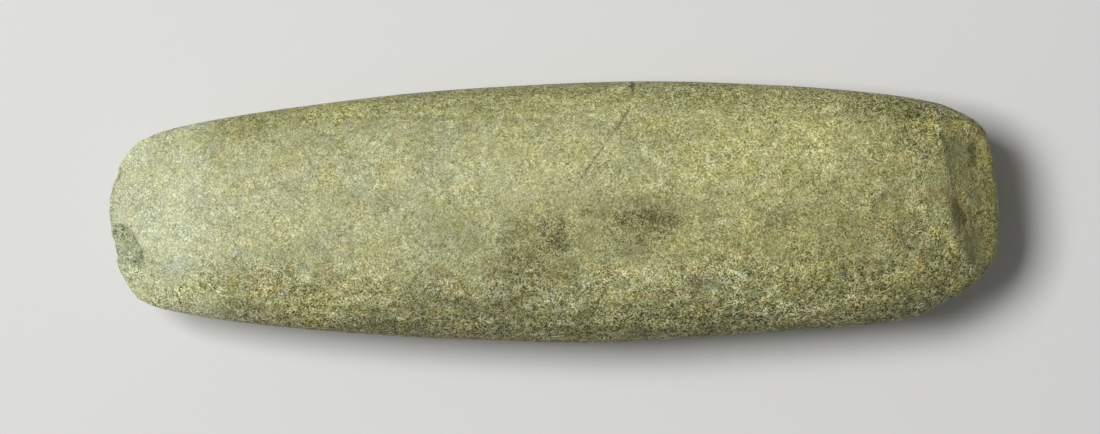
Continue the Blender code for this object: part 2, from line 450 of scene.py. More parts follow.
        (900, 288, 50, 20, 12, 0.50),
        (234, 290, 30, 18, 12, 0.35),
        (186, 292, 50, 13, 12, 0.45),
        (935, 280, 30, 14, 0, 0.50),
        (590, 96, 90, 8, 0, 0.40),
        (700, 94, 90, 8, 2, 0.30),
        (928, 180, 26, 30, 0, 0.20),
        (944, 244, 18, 34, 0, 0.65),
        (926, 208, 10, 10, 0, 0.40),
    ),
    "pale": (
        (930, 138, 4, 5, 0, 0.70),
        (951, 243, 2, 4, 10, 1.00),
        (944, 299, 3, 2, 0, 0.90),
        (878, 313, 3, 1.5, 0, 0.60),
        (601, 274, 4, 4, 0, 0.60),
        (693, 308, 3, 3, 0, 1.00),
        # Painted highlight on the top rim of the shallow scar at pixels 655 to 722, in these three
        # marks.
        (685, 277, 3, 2, 0, 0.80),
        (696, 274, 4, 2, 0, 0.80),
        (708, 272, 5, 2, 0, 0.70),
        (712, 161, 2, 1.5, 0, 0.90),
        (726, 161, 2, 1.5, 0, 0.90),
        (702, 112, 5, 3, 0, 0.50),
        (232, 211, 5, 5, 0, 0.60),
    ),
    "smooth": (
        (957, 152, 9, 20, -6, 0.90),
        (965, 176, 13, 7, 0, 0.80),
        (973, 200, 10, 14, -15, 0.80),
        (957, 212, 6, 15, -12, 0.60),
        (975, 245, 11, 20, 0, 0.80),
        (938, 188, 17, 50, 0, 0.80),
        (902, 190, 30, 44, 0, 0.60),
        (123, 247, 6, 9, 0, 0.90),
        (702, 285, 19, 8, 5, 0.85),
    ),
    "coarse": (
        (121, 228, 10, 5, 10, 0.60),
        (136, 274, 9, 6, 0, 0.80),
        (554, 238, 24, 24, 0, 1.00),
        (528, 270, 30, 24, 0, 0.60),
        (640, 226, 46, 20, 0, 0.65),
        (250, 276, 64, 22, -5, 0.50),
        (190, 293, 56, 13, 12, 0.70),
    ),
    "black": (
        (776, 122, 2.2, 2.6, 0, 1.00),
        (859, 122, 1.5, 1.5, 0, 0.90),
        (865, 122, 1.5, 1.5, 0, 0.90),
        (870, 121, 1.2, 1.2, 0, 0.80),
        (719, 162, 4, 1, 0, 0.80),
        (622, 223, 2.2, 2.2, 0, 0.80),
        (625, 220, 2.5, 1.2, 10, 0.55),
        (641, 241, 2, 2, 0, 0.50),
        (547, 223, 1.6, 1.6, 0, 0.75),
        (560, 238, 1.8, 3, 0, 0.45),
        (607, 214, 2, 1.6, 0, 0.40),
        (566, 246, 2, 2, 0, 0.40),
        (671, 224, 2, 2, 0, 0.35),
        (633, 86, 2, 5, 0, 0.60),
    ),
}

# Colours of the stone.
BODY_LEFT = (0.392, 0.394, 0.196)
BODY_RIGHT = (0.400, 0.388, 0.160)
# Darker on the near side and the butt, where the stone is pecked.
DARKER_NEAR_SIDE_AND_BUTT = (0.308, 0.308, 0.131)
# Painted shade: the steep sides are coloured darker and less blue than the stone.
PAINTED_SIDE_SHADE = (0.252, 0.250, 0.082)
# Towards the bit: the worn stone's own paler colour, and painted sheen.
POLISH_AND_SHEEN = (0.475, 0.505, 0.322)
# Painted glints: light crystals whose shine is painted into the colour as well.
GLINT = (0.820, 0.860, 0.760)
FLOOR = (0.700, 0.695, 0.685)

# The floor and the light.
FLOOR_HALF = 6.0
FLOOR_LEVEL = -0.02 * MM
KEY_FROM = (-0.47, 0.16, 1.0)
KEY_DISTANCE = 1.3
KEY_SIZE = 0.50
KEY_WATTS = 16
ROOM_LIGHT = 0.15

# What the stone's colour is multiplied by where it is changed in full.
YELLOWER = (1.010, 1.000, 0.870)
BLUER = (0.985, 1.010, 1.120)
RUSTIER = (1.090, 0.970, 0.900)
DENT_DARKER = (0.560, 0.530, 0.420)
BROKEN = (1.030, 0.990, 0.880)
FRESH = (0.690, 0.705, 0.680)
CRACKED = (0.560, 0.600, 0.630)
TINTS = {
    # The dull, bright, cream, pale and blue tints change the stone's own colour, and also carry the
    # painted shade, light and sheen noted at the marks.
    "dull": (0.720, 0.715, 0.640),
    "bright": (1.280, 1.285, 1.320),
    "blue": (0.900, 0.975, 1.170),
    "cream": (1.250, 1.190, 1.060),
    "brown": (0.440, 0.405, 0.252),
    "slate": (0.460, 0.505, 0.510),
    "orange": (1.060, 0.890, 0.620),
    "olive": (1.010, 1.000, 0.740),
    "pale": (1.650, 1.650, 1.950),
    "black": (0.150, 0.160, 0.150),
}
GRAIN_OLIVE = 1.50  # how much faster than its red and green a dark grain's blue falls
MOTTLED_OLIVE = 1.15  # and that of a dark patch, and of a grain at the polished end
DARK_OLIVE = 0.42  # how much faster still the blue of the darkest grains falls, towards the butt
DARKEST = 0.15  # how far below the middle tone those grains begin
HELD_BACK = 0.28  # how much less the lightest grains stand out than the darkest


def smoothstep(low, high, value):
    """0 below low, 1 above high, and a smooth rise between. low may be above high."""
    t = np.clip((value - low) / (high - low), 0, 1)
    return t * t * (3 - 2 * t)


def value_noise(points, size, seed=0):
    """Smooth noise from -1 to 1 at the points. size is its grain in metres, one number or three."""
    p = points / np.asarray(size) + seed * 17.31
    cell = np.floor(p).astype(np.int64)
    t = p - cell
    t = t * t * (3 - 2 * t)
    total = np.zeros(len(p))
    for corner in np.ndindex(2, 2, 2):
        key = (cell + corner) @ np.array([374761393, 668265263, 1442695041]) + seed * 7919
        key = (key ^ (key >> 13)) * 1274126177 & 0xFFFFFFFF
        key = (key ^ (key >> 16)) * 2246822519 & 0xFFFFFFFF
        share = np.prod(np.where(corner, t, 1 - t), axis=1)
        total += share * (key / 0x7FFFFFFF - 1)
    return total


def rough_noise(points, size, seed, octaves=3):
    """Noise with finer noise on it, each octave half as large and half as strong."""
    layers = [value_noise(points, np.asarray(size) / 2**k, seed + k) / 2**k for k in range(octaves)]
    return sum(layers) / 1.6


def make_camera():
    """The camera looks straight down and sees what the photograph shows."""
    data = bpy.data.cameras.new("camera")
    data.sensor_width = SENSOR / MM
    data.lens = SENSOR * CAMERA_DISTANCE / FRAME_WIDTH / MM
    camera = bpy.data.objects.new("camera", data)
    camera.location = (*FRAME_MIDDLE, OUTLINE_HEIGHT + CAMERA_DISTANCE)
    bpy.context.scene.collection.objects.link(camera)
    bpy.context.scene.camera = camera
    return camera


def sight(pixel):
    """The direction from the camera through a pixel of the photograph."""
    across = (pixel[0] - PHOTO[0] / 2) / PHOTO[0]
    down = (pixel[1] - PHOTO[1] / 2) / PHOTO[0]
    return Vector((across * FRAME_WIDTH, -down * FRAME_WIDTH, -CAMERA_DISTANCE)).normalized()


def seen_at(pixel):
    """The point of the stone that shows at a pixel, or the nearest one to a pixel just outside it."""
    start = CAMERA.location
    hit = SOLID.ray_cast(start, sight(pixel))[0]
    if hit is None:
        level = start + sight(pixel) * CAMERA_DISTANCE
        hit = SOLID.find_nearest(level)[0]
    return hit


def pixels_of(points):
    """The pixels of the photograph at which points show."""
    below = OUTLINE_HEIGHT + CAMERA_DISTANCE - points[:, 2]
    scale = PHOTO[0] / FRAME_WIDTH * CAMERA_DISTANCE / below
    right = PHOTO[0] / 2 + (points[:, 0] - FRAME_MIDDLE[0]) * scale
    down = PHOTO[1] / 2 - (points[:, 1] - FRAME_MIDDLE[1]) * scale
    return np.stack([right, down], axis=1)


def inside_outline(pixels, outline):
    """How far each pixel is inside a closed outline, in pixels. It is negative outside."""
    nearest = np.full(len(pixels), np.inf)
    inside = np.zeros(len(pixels), bool)
    for a, b in zip(outline, outline[1:] + outline[:1]):
        a, b = np.array(a, float), np.array(b, float)
        way = b - a
        share = np.clip((pixels - a) @ way / (way @ way), 0, 1)
        nearest = np.minimum(nearest, np.linalg.norm(pixels - a - share[:, None] * way, axis=1))
        crossing = (a[1] > pixels[:, 1]) != (b[1] > pixels[:, 1])
        where = a[0] + (pixels[:, 1] - a[1]) * way[0] / (way[1] or 1e-9)
        inside ^= crossing & (pixels[:, 0] < where)
    return np.where(inside, nearest, -nearest)


def points_of(mesh):
    flat = np.empty(len(mesh.vertices) * 3, np.float32)
    mesh.vertices.foreach_get("co", flat)
    return flat.reshape(-1, 3).astype(float)


def normals_of(mesh):
    flat = np.empty(len(mesh.vertices) * 3, np.float32)
    mesh.vertex_normals.foreach_get("vector", flat)
    return flat.reshape(-1, 3).astype(float)


def edges_of(mesh):
    flat = np.empty(len(mesh.edges) * 2, np.int32)
    mesh.edges.foreach_get("vertices", flat)
    return flat.reshape(-1, 2)


def move_points(mesh, points):
    mesh.vertices.foreach_set("co", points.astype(np.float32).ravel())
    mesh.update()


def tree_of(points):
    tree = KDTree(len(points))
    for i, point in enumerate(points):
        tree.insert(point, i)
    tree.balance()
    return tree


def distances(points, tree):
    """The distance from each point to the nearest one in the tree."""
    return np.array([tree.find(point)[2] for point in points])


def arris_points(solid):
    """Points along the solid's sharp edges, close together."""
    sharp = [e for e in solid.edges if e.is_manifold and e.calc_face_angle() > ARRIS_ANGLE]
    found = []
    for edge in sharp:
        a, b = (vertex.co for vertex in edge.verts)
        steps = max(1, math.ceil((b - a).length / (0.5 * ARRIS_KEPT)))
        found.extend(a.lerp(b, k / steps) for k in range(steps + 1))
    return found


def with_modifiers(holder):
    """The mesh of an object after its modifiers. The object is removed."""
    evaluated = holder.evaluated_get(bpy.context.evaluated_depsgraph_get())
    made = bpy.data.meshes.new_from_object(evaluated)
    bpy.data.objects.remove(holder)
    return made


def fine_mesh(solid):
    """The solid meshed again with even, fine faces."""
    data = bpy.data.meshes.new("coarse")
    solid.to_mesh(data)
    coarse = bpy.data.objects.new("coarse", data)
    bpy.context.scene.collection.objects.link(coarse)
    remesh = coarse.modifiers.new("remesh", "REMESH")
    remesh.mode = "VOXEL"
    remesh.voxel_size = FINE
    return with_modifiers(coarse)


def diffused(points, edges, freedom, rounds, strength=0.6):
    """The points after each has moved towards its neighbours, over and over. freedom is 0 to 1."""
    a, b = edges.T
    count = len(points)
    valence = np.bincount(a, minlength=count) + np.bincount(b, minlength=count)
    step = (strength * freedom / valence)[:, None]
    for _ in range(rounds):
        pull = np.stack(
            [
                np.bincount(a, points[b, k], count) + np.bincount(b, points[a, k], count)
                for k in range(3)
            ],
            axis=1,
        )
        points = points + step * (pull - points * valence[:, None])
    return points


def without_facets(points, edges, arrises):
    """The points smoothed between the arrises, with what smoothing takes off the girth put back."""
    freedom = smoothstep(ARRIS_KEPT, ARRIS_REACH, distances(points, arrises))
    freedom = np.maximum(freedom, WORN_BUTT * smoothstep(BUTT_WORN_FROM, BUTT_START, points[:, 0]))
    once = diffused(points, edges, freedom, SMOOTHING_ROUNDS)
    twice = diffused(once, edges, freedom, SMOOTHING_ROUNDS)
    smooth = once + (once - twice)
    return diffused(smooth, edges, np.ones(len(points)), WORN_ROUNDS)


def finer_near(mesh, places, reach):
    """Splits the faces of the mesh that lie near any of the places."""
    tree = tree_of(places)
    bm = bmesh.new()
    bm.from_mesh(mesh)
    near = [tree.find(face.calc_center_median())[2] < reach for face in bm.faces]
    edges = {edge for face, chosen in zip(bm.faces, near) if chosen for edge in face.edges}
    bmesh.ops.subdivide_edges(bm, edges=list(edges), cuts=FINER_CUTS, use_grid_fill=True)
    bmesh.ops.triangulate(bm, faces=[face for face in bm.faces if len(face.verts) > 4])
    bm.to_mesh(mesh)
    bm.free()


def lighter(mesh):
    """The mesh with as few triangles as MOST_TRIANGLES, taken where it is flattest."""
    mesh.calc_loop_triangles()
    holder = bpy.data.objects.new("dense", mesh)
    bpy.context.scene.collection.objects.link(holder)
    decimate = holder.modifiers.new("decimate", "DECIMATE")
    decimate.ratio = min(1.0, MOST_TRIANGLES / len(mesh.loop_triangles))
    return with_modifiers(holder)


def roughness_of(points, normals):
    """How pecked the stone is: little on the ground face, more on the near side and the butt."""
    blotch = rough_noise(points, 7 * MM, seed=3)
    side = smoothstep(*PECKED_SLOPES, -normals[:, 1] + 0.16 * blotch)
    beyond_bit = smoothstep(BIT_END, PECKED_FROM, points[:, 0] + 0.006 * blotch)
    butt = smoothstep(BUTT_PECKED_FROM, BUTT_FULL, points[:, 0] + 0.004 * blotch)
    return np.maximum(side * beyond_bit, BUTT_PECKED * butt)


def dimples(points, rough):
    """Places, radii and depths of the dimples that pecking left."""
    rng = np.random.default_rng(SEED)
    chance = LEAST_CHANCE + rough**1.3
    chosen = rng.choice(len(points), size=DIMPLES, replace=False, p=chance / chance.sum())
    radii = rng.uniform(*DIMPLE_RADII, len(chosen)) * MM
    depths = radii * rng.uniform(*DIMPLE_DEPTHS, len(chosen)) * (0.25 + 0.75 * rough[chosen])
    return list(zip(points[chosen], radii, depths))


def edge_nicks(points):
    """Small nicks along the whole cutting edge, as wear leaves them."""
    rng = np.random.default_rng(SEED + 1)
    edge = points[points[:, 0] < EDGE_BAND]
    chosen = edge[rng.choice(len(edge), size=EDGE_NICKS, replace=False)]
    radii = rng.uniform(*NICK_RADII, len(chosen)) * MM
    return list(zip(chosen, radii, radii * rng.uniform(*NICK_DEPTHS, len(chosen))))


def placed(dents):
    """Dents given by a pixel and two sizes in millimetres, as places, radii and depths."""
    return [(seen_at((x, y)), radius * MM, depth * MM) for x, y, radius, depth in dents]


def dented(points, dents):
    """How deep the dents go at each point."""
    tree = tree_of(points)
    deep = np.zeros(len(points))
    for centre, radius, depth in dents:
        found = tree.find_range(centre, radius)
        if found:
            index = np.array([item[1] for item in found])
            gap = np.array([item[2] for item in found]) / radius
            deep[index] = np.maximum(deep[index], depth * (1 - gap**2) ** 2)
    return deep


def along_line(corners, spacing):
    """Points along a line through the corners, close together."""
    found = []
    for a, b in zip(corners, corners[1:]):
        steps = max(1, math.ceil((b - a).length / spacing))
        found.extend(a.lerp(b, k / steps) for k in range(steps))
    return found


def crack_lines():
    """The parts of the crack: points along each, with its half width and how open it is at each."""
    lines = []
    for corners in CRACKS:
        places = [seen_at(corner[:2]) for corner in corners]
        points = along_line(places, 0.07 * MM)
        run = np.linspace(0, 1, len(points))
        lengths = np.cumsum([0.0] + [(b - a).length for a, b in zip(places, places[1:])])
        shares = lengths / lengths[-1]
        widths = np.interp(run, shares, [corner[2] for corner in corners])
        openness = np.interp(run, shares, [corner[3] for corner in corners])
        lines.append((points, widths * MM, openness))
    return lines


def crack_openness(points, lines, spread=1.0):
    """How open the crack is at each point, from 0 to 1. spread widens it."""
    ragged = 1 + 0.40 * rough_noise(points, 0.7 * MM, seed=21)
    most = np.zeros(len(points))
    for places, widths, openness in lines:
        tree = tree_of(places)
        hits = [tree.find(point)[1:] for point in points]
        nearest = np.array([hit[0] for hit in hits])
        gap = np.array([hit[1] for hit in hits]) / (widths[nearest] * ragged * spread)
        most = np.maximum(most, openness[nearest] * np.clip(1 - gap**2, 0, 1))
    return most


def ground_planes(points):
    """How far the face falls away beyond the lines where its ground planes meet."""
    fall = np.zeros(len(points))
    for line in GROUND_LINES:
        corners = np.array([seen_at(pixel) for pixel in line])
        level = np.interp(points[:, 0], corners[:, 0], corners[:, 1])
        beyond = np.clip(points[:, 1] - level, 0, GROUND_REACH)
        first, last = corners[0, 0], corners[-1, 0]
        ends = smoothstep(first - GROUND_FADE, first + GROUND_FADE, points[:, 0])
        ends *= smoothstep(last + GROUND_FADE, last - GROUND_FADE, points[:, 0])
        fall += GROUND_TURN * ends * beyond * (1 - beyond / GROUND_REACH)
    return fall * (points[:, 2] > OUTLINE_HEIGHT)


def scars(points, normals):
    """How deep the shallow scars are, with a crisp rim."""
    pixels = pixels_of(points)
    ragged = 1.2 * rough_noise(points, 1.2 * MM, seed=12)
    deep = np.zeros(len(points))
    for outline, depth, slope in SCARS:
        inside = (inside_outline(pixels, outline) + ragged) * FRAME_WIDTH / PHOTO[0]
        deep += depth * MM * (1 - np.exp(-np.clip(inside, 0, None) / (slope * MM)))
    return deep * (normals[:, 2] > 0)


def relief(points, normals, crack):
    """How far each point sinks below the smooth stone."""
    rough = roughness_of(points, normals)
    butt = smoothstep(BUTT_START, BUTT_FULL, points[:, 0])
    sink = BROAD_DEPTH * rough_noise(points, (26 * MM, 6.5 * MM, 6.5 * MM), seed=1, octaves=2)
    sink += PECKED_FINE_DEPTH * rough * rough_noise(points, 1.3 * MM, seed=2)
    sink += PECKED_WIDE_DEPTH * rough * rough_noise(points, 3.6 * MM, seed=16, octaves=2)
    sink += FINE_DEPTH * rough_noise(points, 2.2 * MM, seed=4)
    sink += BUTT_DEPTH * butt * rough_noise(points, 2.4 * MM, seed=6)
    sink += ground_planes(points) + scars(points, normals)
    sink += dented(points, dimples(points, rough))
    sink += dented(points, edge_nicks(points) + placed(PITS) + placed(NOTCHES))
    return sink + CRACK_DEPTH * crack_openness(points, crack)


def kept_in_box(points):
    """The points held inside the solid's box, so that the stone lies flat and keeps its size."""
    return np.clip(points, CAD_BOX[0], CAD_BOX[1])


def marked(points, facing, marks):
    """How much each point lies in any of the marks, from 0 to their strength, with ragged edges."""
    pixels = pixels_of(points)
    ragged = 0.28 * rough_noise(points, 1.6 * MM, seed=9)
    most = np.zeros(len(points))
    for x, y, half_long, half_wide, turn, strength in marks:
        angle = math.radians(turn)
        right, down = (pixels - (x, y)).T
        along = right * math.cos(angle) - down * math.sin(angle)
        across = right * math.sin(angle) + down * math.cos(angle)
        out = np.hypot(along / half_long, across / half_wide) + ragged
        most = np.maximum(most, strength * smoothstep(*MARK_EDGE, out))
    return most * facing


def add_mask(mesh, name, values):
    layer = mesh.attributes.new(name, "FLOAT", "POINT")
    layer.data.foreach_set("value", np.clip(values, 0, 1).astype(np.float32))


def zone_mask(points, outline, seed):
    """0.5 at a zone's outline, more inside it and less outside."""
    inside = inside_outline(pixels_of(points), outline) + rough_noise(points, 0.8 * MM, seed=seed)
    return 0.5 + 0.5 * inside / EDGE_SPAN


def add_masks(mesh, crack):
    """The stone's zones and marks, kept with its points for the material."""
    points, normals = points_of(mesh), normals_of(mesh)
    rough = roughness_of(points, normals)
    blotch = rough_noise(points, 6 * MM, seed=8)
    facing = smoothstep(-0.25, 0.10, normals[:, 2])
    add_mask(mesh, "pecked", rough)
    # The steep sides, where shade is painted into the colour.
    sideways = np.maximum(-normals[:, 1], 0.93 * normals[:, 1])
    add_mask(mesh, "side", smoothstep(0.48, 0.90, sideways + 0.10 * blotch))
    add_mask(mesh, "polished", smoothstep(POLISH_END, BIT_END, points[:, 0] + 3 * MM * blotch))
    add_mask(mesh, "end", zone_mask(points, BROKEN_END, seed=15))
    add_mask(mesh, "along", (points[:, 0] - CAD_BOX[0][0]) / (CAD_BOX[1][0] - CAD_BOX[0][0]))
    add_mask(mesh, "crack", crack_openness(points, crack))
    add_mask(mesh, "beside_crack", 0.7 * crack_openness(points, crack, spread=4.0))
    add_mask(mesh, "fresh", facing * zone_mask(points, SCARS[0][0], seed=14))
    for name, marks in MARKS.items():
        add_mask(mesh, name, marked(points, facing, marks))
    dents = dented(points, dimples(points, rough) + placed(PITS) + placed(NOTCHES))
    add_mask(mesh, "hollow", dents / FULL_HOLLOW)


def make_stone():
    """The stone as a fine mesh with its relief and its masks."""
    solid = bmesh.new()
    solid.from_mesh(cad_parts[NODE].data)
    bmesh.ops.remove_doubles(solid, verts=solid.verts, dist=1e-6)
    arrises = arris_points(solid)
    mesh = fine_mesh(solid)
    solid.free()
    crack = crack_lines()
    finer_near(mesh, [place for line in crack for place in line[0]], 0.7 * MM)
    tree = tree_of(arrises)
    smooth = without_facets(points_of(mesh), edges_of(mesh), tree)
    move_points(mesh, smooth)
    sunk = smooth - normals_of(mesh) * relief(smooth, normals_of(mesh), crack)[:, None]
    move_points(mesh, kept_in_box(sunk))
    light = lighter(mesh)
    move_points(light, kept_in_box(points_of(light)))
    light.shade_smooth()
    add_masks(light, crack)
    stone = bpy.data.objects.new("stone", light)
    bpy.context.scene.collection.objects.link(stone)
    return stone


class Graph:
    """A material's nodes, made by short calls. Places are the stone's own, in millimetres."""

    def __init__(self, material):
        self.tree = material.node_tree
        self.shader = self.tree.nodes["Principled BSDF"]
        coordinates = self.tree.nodes.new("ShaderNodeTexCoord")
        self.place = self.vector("SCALE", coordinates.outputs["Object"], scale=1 / MM)

    def put(self, socket, value):
        """Links or sets an input."""
        if isinstance(value, bpy.types.NodeSocket):
            self.tree.links.new(value, socket)
        elif isinstance(value, tuple) and len(socket.default_value) == 4:
            socket.default_value = (*value, 1.0)
        else:
            socket.default_value = value

    def vector(self, operation, a, b=None, scale=None):
        node = self.tree.nodes.new("ShaderNodeVectorMath")
        node.operation = operation
        self.put(node.inputs[0], a)
        if b is not None:
            self.put(node.inputs[1], b)
        if scale is not None:
            self.put(node.inputs["Scale"], scale)
        return node.outputs["Vector"]

    def math(self, operation, a, b=0.0, clamp=False):
        node = self.tree.nodes.new("ShaderNodeMath")
        node.operation = operation
        node.use_clamp = clamp
        self.put(node.inputs[0], a)
        self.put(node.inputs[1], b)
        return node.outputs[0]

    def stretch(self, value, low, high, to_low=0.0, to_high=1.0):
        """A smooth change from to_low to to_high as value goes from low to high."""
        node = self.tree.nodes.new("ShaderNodeMapRange")
        node.interpolation_type = "SMOOTHSTEP"
        for name, setting in zip(
            ("Value", "From Min", "From Max", "To Min", "To Max"), (value, low, high, to_low, to_high)
        ):
            self.put(node.inputs[name], setting)
        return node.outputs["Result"]

    def mask(self, name):
        node = self.tree.nodes.new("ShaderNodeAttribute")
        node.attribute_name = name
        return node.outputs["Fac"]

    def zone(self, name):
        """1 inside a zone and 0 outside it, with a crisp and slightly broken edge."""
        broken = self.total((self.noise(0.6, detail=2, rough=0.6, shift=67), 0.30))
        return self.stretch(self.math("ADD", self.mask(name), broken), 0.44, 0.58)

    def noise(self, size, detail=2.0, rough=0.5, shift=0.0, place=None):
        """Smooth noise around 0.5. size is its grain in millimetres."""
        node = self.tree.nodes.new("ShaderNodeTexNoise")
        moved = self.vector("ADD", place or self.place, (shift, -shift, 0.7 * shift))
        self.put(node.inputs["Vector"], moved)
        node.inputs["Scale"].default_value = 1 / size
        node.inputs["Detail"].default_value = detail
        node.inputs["Roughness"].default_value = rough
        return node.outputs["Fac"]

    def grains(self, size, shift=0.0):
        """Cells the size of mineral grains, with a value of its own for each."""
        node = self.tree.nodes.new("ShaderNodeTexVoronoi")
        self.put(node.inputs["Vector"], self.vector("ADD", self.place, (shift, shift, -shift)))
        node.inputs["Scale"].default_value = 1 / size
        split = self.tree.nodes.new("ShaderNodeSeparateColor")
        self.put(split.inputs["Color"], node.outputs["Color"])
        return split.outputs["Red"]

    def total(self, *parts):
        """The sum of values that lie around 0.5, each taken around 0 and times its weight."""
        result = 0.0
        for value, weight in parts:
            centred = self.math("SUBTRACT", value, 0.5)
            result = self.math("ADD", result, self.math("MULTIPLY", centred, weight))
        return result

    def needles(self, size):
        """Places squeezed so that noise in them is drawn out, another way in each cell of a size."""
        cells = self.tree.nodes.new("ShaderNodeTexVoronoi")
        self.put(cells.inputs["Vector"], self.place)
        cells.inputs["Scale"].default_value = 1 / size
        turn = self.tree.nodes.new("ShaderNodeVectorRotate")
        self.put(turn.inputs["Vector"], self.place)
        self.put(turn.inputs["Axis"], self.vector("SUBTRACT", cells.outputs["Color"], (0.5, 0.5, 0.5)))
        split = self.tree.nodes.new("ShaderNodeSeparateColor")
        self.put(split.inputs["Color"], cells.outputs["Color"])
        self.put(turn.inputs["Angle"], self.math("MULTIPLY", split.outputs["Blue"], 2 * math.pi))
        return self.vector("MULTIPLY", turn.outputs["Vector"], (1.5, 1.5, 0.55))

    def mix(self, factor, a, b):
        node = self.tree.nodes.new("ShaderNodeMix")
        node.data_type = "RGBA"
        self.put(node.inputs["Factor"], factor)
        self.put(node.inputs["A"], a)
        self.put(node.inputs["B"], b)
        return node.outputs["Result"]

    def triple(self, x, y, z):
        node = self.tree.nodes.new("ShaderNodeCombineXYZ")
        for socket, value in zip(node.inputs, (x, y, z)):
            self.put(socket, value)
        return node.outputs["Vector"]

    def tinted(self, color, factor, tint):
        """The colour multiplied by a tint, as far as factor says."""
        return self.vector("MULTIPLY", color, self.mix(factor, (1.0, 1.0, 1.0), tint))

    def bump(self, height, distance, normal=None):
        node = self.tree.nodes.new("ShaderNodeBump")
        self.put(node.inputs["Height"], height)
        node.inputs["Distance"].default_value = distance
        if normal is not None:
            self.put(node.inputs["Normal"], normal)
        return node.outputs["Normal"]


def zoned_colour(g):
    """Colour by zone: pale, with painted sheen, at the polished end; darker where pecked; painted
    shade at the sides.
    """
    color = g.mix(g.stretch(g.mask("along"), 0.25, 0.80), BODY_LEFT, BODY_RIGHT)
    broken = g.noise(1.1, detail=3, rough=0.6, shift=13)
    # Darker on the near side and the butt.
    pecked = g.math("MULTIPLY", g.mask("pecked"), g.stretch(broken, 0.30, 0.62, 0.45, 0.95))
    color = g.mix(pecked, color, DARKER_NEAR_SIDE_AND_BUTT)
    # Painted shade at the steep sides.
    side = g.math("MULTIPLY", g.mask("side"), g.stretch(broken, 0.35, 0.60, 0.35, 0.90))
    color = g.mix(side, color, PAINTED_SIDE_SHADE)
    # Paler and bluer towards the bit: the stone's own paler tone, and painted sheen.
    color = g.mix(g.math("MULTIPLY", g.mask("polished"), 0.75), color, POLISH_AND_SHEEN)
    return g.tinted(color, g.zone("end"), BROKEN)


def patched(g, color):
    """The colour with soft patches of yellow, blue-grey and rust, weaker on the broken butt."""
    pecked = g.mask("pecked")
    whole = g.stretch(g.zone("end"), 0.0, 1.0, 1.0, 0.35)
    warm = g.total((g.noise(9.0, 2, 0.5, 3), 0.5), (g.noise(2.6, 1, 0.5, 31), 0.5))
    warm = g.stretch(warm, -0.02, 0.13, 0.0, g.math("MULTIPLY", whole, 0.75))
    color = g.tinted(color, warm, YELLOWER)
    cool = g.total((g.noise(7.0, 2, 0.5, 57), 0.45), (g.noise(2.0, 1, 0.5, 71), 0.55))
    cool = g.stretch(cool, -0.03, 0.11, 0.0, g.stretch(pecked, 0.0, 1.0, 0.75, 1.0))
    cool = g.math("MULTIPLY", cool, g.stretch(g.mask("polished"), 0.0, 1.0, 1.0, 0.5))
    color = g.tinted(color, g.math("MULTIPLY", cool, whole), BLUER)
    rusty = g.stretch(g.noise(3.2, detail=2, rough=0.5, shift=91), 0.48, 0.66, 0.0, whole)
    return g.tinted(color, g.math("MULTIPLY", rusty, g.stretch(pecked, 0.0, 0.6, 0.25, 0.90)), RUSTIER)


def stained(g, color):
    """The marks and the fresh scar laid over the stone, with soft broken edges."""
    broken = g.total((g.noise(1.3, 3, 0.65, 23), 3.0))
    color = g.tinted(color, g.zone("fresh"), FRESH)
    for name, tint in TINTS.items():
        mask = g.mask(name)
        uneven = g.math("MULTIPLY", g.math("MULTIPLY", mask, g.math("SUBTRACT", 1.15, mask)), broken)
        color = g.tinted(color, g.math("MAXIMUM", g.math("ADD", mask, uneven), 0.0, clamp=True), tint)
    return color


def grain_of(g):
    """The stone's grain, around 0: needles lying many ways, crystals, specks, and clusters of them."""
    return g.total(
        (g.noise(0.42, 2, 0.6, 5, g.needles(1.5)), 1.05),
        (g.noise(0.30, 1, 0.5, 47, g.needles(0.9)), 0.55),
        (g.grains(0.30), 0.13),
        (g.grains(0.17, shift=9), 0.20),
        (g.noise(1.0, 2, 0.6, 17), 0.45),
    )


def grain_tone(g, grain):
    """How light each grain is, around 0, by how strong the grain is in each zone and mark."""
    strength = g.stretch(g.mask("pecked"), 0.0, 1.0, 2.05, 3.50)
    for factor in (
        g.stretch(g.noise(3.4, 2, 0.5, 29), 0.35, 0.65, 0.85, 1.20),
        g.stretch(g.mask("along"), 0.40, 0.80, 1.0, 1.36),
        g.stretch(g.mask("side"), 0.0, 1.0, 1.0, 1.85),
        g.stretch(g.zone("end"), 0.0, 1.0, 1.0, 0.70),
        g.stretch(g.zone("fresh"), 0.0, 1.0, 1.0, 1.50),
        g.stretch(g.mask("polished"), 0.0, 1.0, 1.0, 0.98),
        g.stretch(g.mask("smooth"), 0.0, 1.0, 1.0, 0.50),
        g.stretch(g.mask("coarse"), 0.0, 1.0, 1.0, 2.20),
    ):
        strength = g.math("MULTIPLY", strength, factor)
    tone = g.math("MULTIPLY", grain, strength)
    return g.math("MULTIPLY", tone, g.math("SUBTRACT", 1.0, g.math("MULTIPLY", tone, HELD_BACK)))


def mottled_tone(g):
    """How light the stone is in patches of a few millimetres, around 0."""
    tone = g.total((g.noise(2.2, 3, 0.65, 101), 1.0), (g.noise(5.5, 2, 0.5, 113), 0.8))
    for factor in (
        g.stretch(g.mask("pecked"), 0.0, 1.0, 0.80, 1.50),
        g.stretch(g.mask("along"), 0.30, 0.80, 0.90, 1.20),
        g.stretch(g.zone("end"), 0.0, 1.0, 1.0, 0.50),
        g.stretch(g.mask("polished"), 0.0, 1.0, 1.0, 0.45),
        g.stretch(g.mask("smooth"), 0.0, 1.0, 1.0, 0.70),
    ):
        tone = g.math("MULTIPLY", tone, factor)
    return tone


